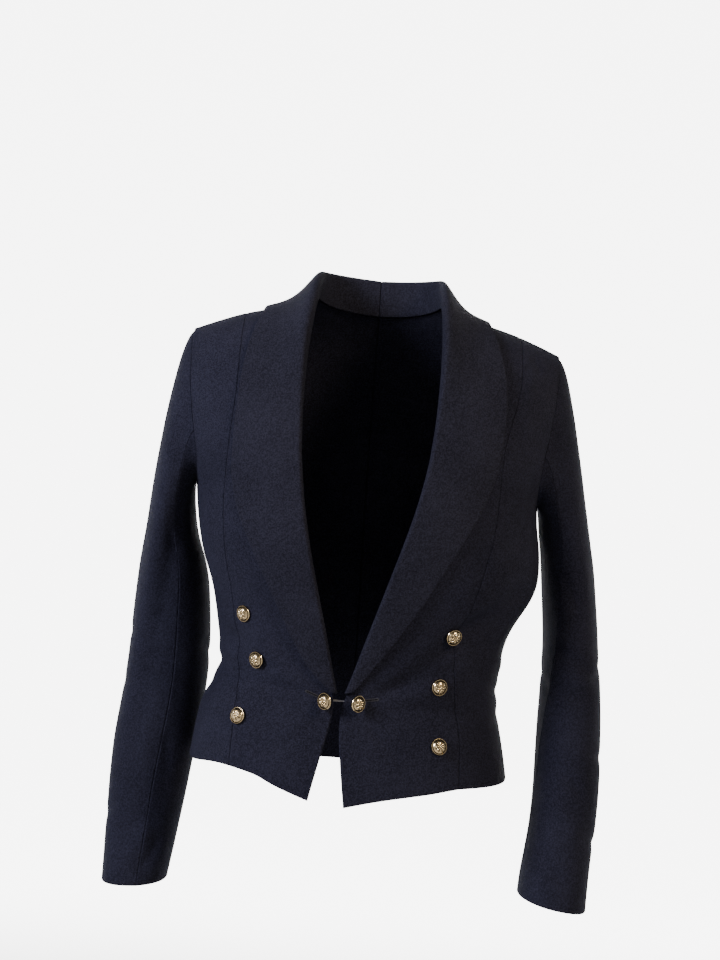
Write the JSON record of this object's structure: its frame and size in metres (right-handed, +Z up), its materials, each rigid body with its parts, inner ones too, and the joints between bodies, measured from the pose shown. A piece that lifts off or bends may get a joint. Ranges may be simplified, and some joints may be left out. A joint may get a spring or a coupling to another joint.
{
  "type": "mess jacket",
  "caption": "Waist-length dress uniform jacket with a shawl collar, princess seams, domed metal buttons and an open linked front, shown hollow as worn.",
  "frame": {"origin": "between the shoulders at the base of the neck, where the wearer's shoulders hold the jacket up", "axes": "+Z up along the wearer, -Y out of the jacket's front, +X towards the right of the picture, which is the wearer's left"},
  "size_m": [0.5306, 0.2427, 0.6772],
  "materials": {
    "body_cloth": "matt pebbled wool barathea, midnight navy",
    "collar_cloth": "matt pebbled wool barathea, midnight navy",
    "sleeve_cloth": "matt pebbled wool barathea, midnight navy",
    "button_metal": "polished gilt",
    "cuff_button_dark": "dark, half gloss",
    "link_cord_dark": "dark twisted cord"
  },
  "bodies": {
    "root": {"back_centre_left": "body_cloth", "back_centre_right": "body_cloth", "back_side_left": "body_cloth", "back_side_right": "body_cloth", "cuff_button_left_1": "cuff_button_dark", "cuff_button_left_2": "cuff_button_dark", "cuff_button_left_3": "cuff_button_dark", "cuff_button_right_1": "cuff_button_dark", "cuff_button_right_2": "cuff_button_dark", "cuff_button_right_3": "cuff_button_dark", "front_button_left_1": "button_metal", "front_button_left_2": "button_metal", "front_button_left_3": "button_metal", "front_button_right_1": "button_metal", "front_button_right_2": "button_metal", "front_button_right_3": "button_metal", "front_centre_left": "body_cloth", "front_centre_right": "body_cloth", "front_side_left": "body_cloth", "front_side_right": "body_cloth", "link_button_left": "button_metal", "link_button_right": "button_metal", "link_cord": "link_cord_dark", "shawl_collar_left": "collar_cloth", "shawl_collar_right": "collar_cloth", "sleeve_top_left": "sleeve_cloth", "sleeve_top_right": "sleeve_cloth", "sleeve_under_left": "sleeve_cloth", "sleeve_under_right": "sleeve_cloth"}
  },
  "joints": []
}
